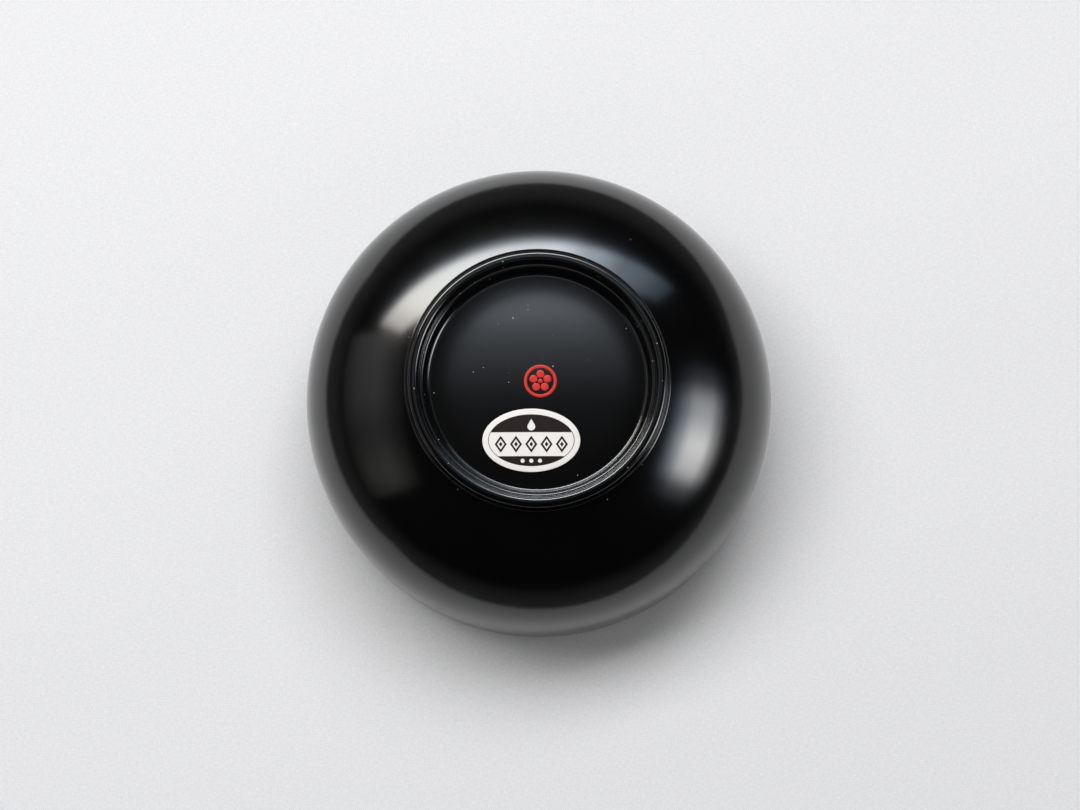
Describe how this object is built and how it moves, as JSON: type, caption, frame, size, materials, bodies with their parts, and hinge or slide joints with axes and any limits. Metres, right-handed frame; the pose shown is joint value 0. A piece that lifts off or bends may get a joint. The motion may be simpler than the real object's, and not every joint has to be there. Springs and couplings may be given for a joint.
{
  "type": "lacquered soup bowl",
  "caption": "Round black lacquered soup bowl, stored mouth down: full belly, turned foot ring with a recessed satin floor, a small painted seal and an oval care label. Holds soup or rice.",
  "frame": {"origin": "centre of the rim circle, in the plane of the rim: the bowl is stored mouth down, as it stands to dry or stack, so this is also the middle of its lowest face", "axes": "+Z is the turning axis and points from the mouth to the foot. +Y points from the label to the seal on the floor of the foot, and +X is to the right of somebody who looks at the foot with the label nearest to them. Turn the part by 180 degrees about X to stand it on its foot, ready for use"},
  "size_m": [0.118, 0.118, 0.0622],
  "materials": {
    "core_wood": "turned hardwood, wholly under lacquer",
    "gloss_lacquer": "black lacquer, high gloss",
    "satin_lacquer": "black lacquer, satin",
    "seal_red": "vermilion lacquer paint",
    "label_white": "coated label stock",
    "label_ink": "dark brown printing ink"
  },
  "bodies": {
    "root": {"bowl_core": "core_wood", "outer_lacquer": "gloss_lacquer", "inner_lacquer": "gloss_lacquer", "recess_lacquer": "satin_lacquer", "seal_mark": "seal_red", "label_film": "label_white", "label_print": "label_ink"}
  },
  "joints": []
}
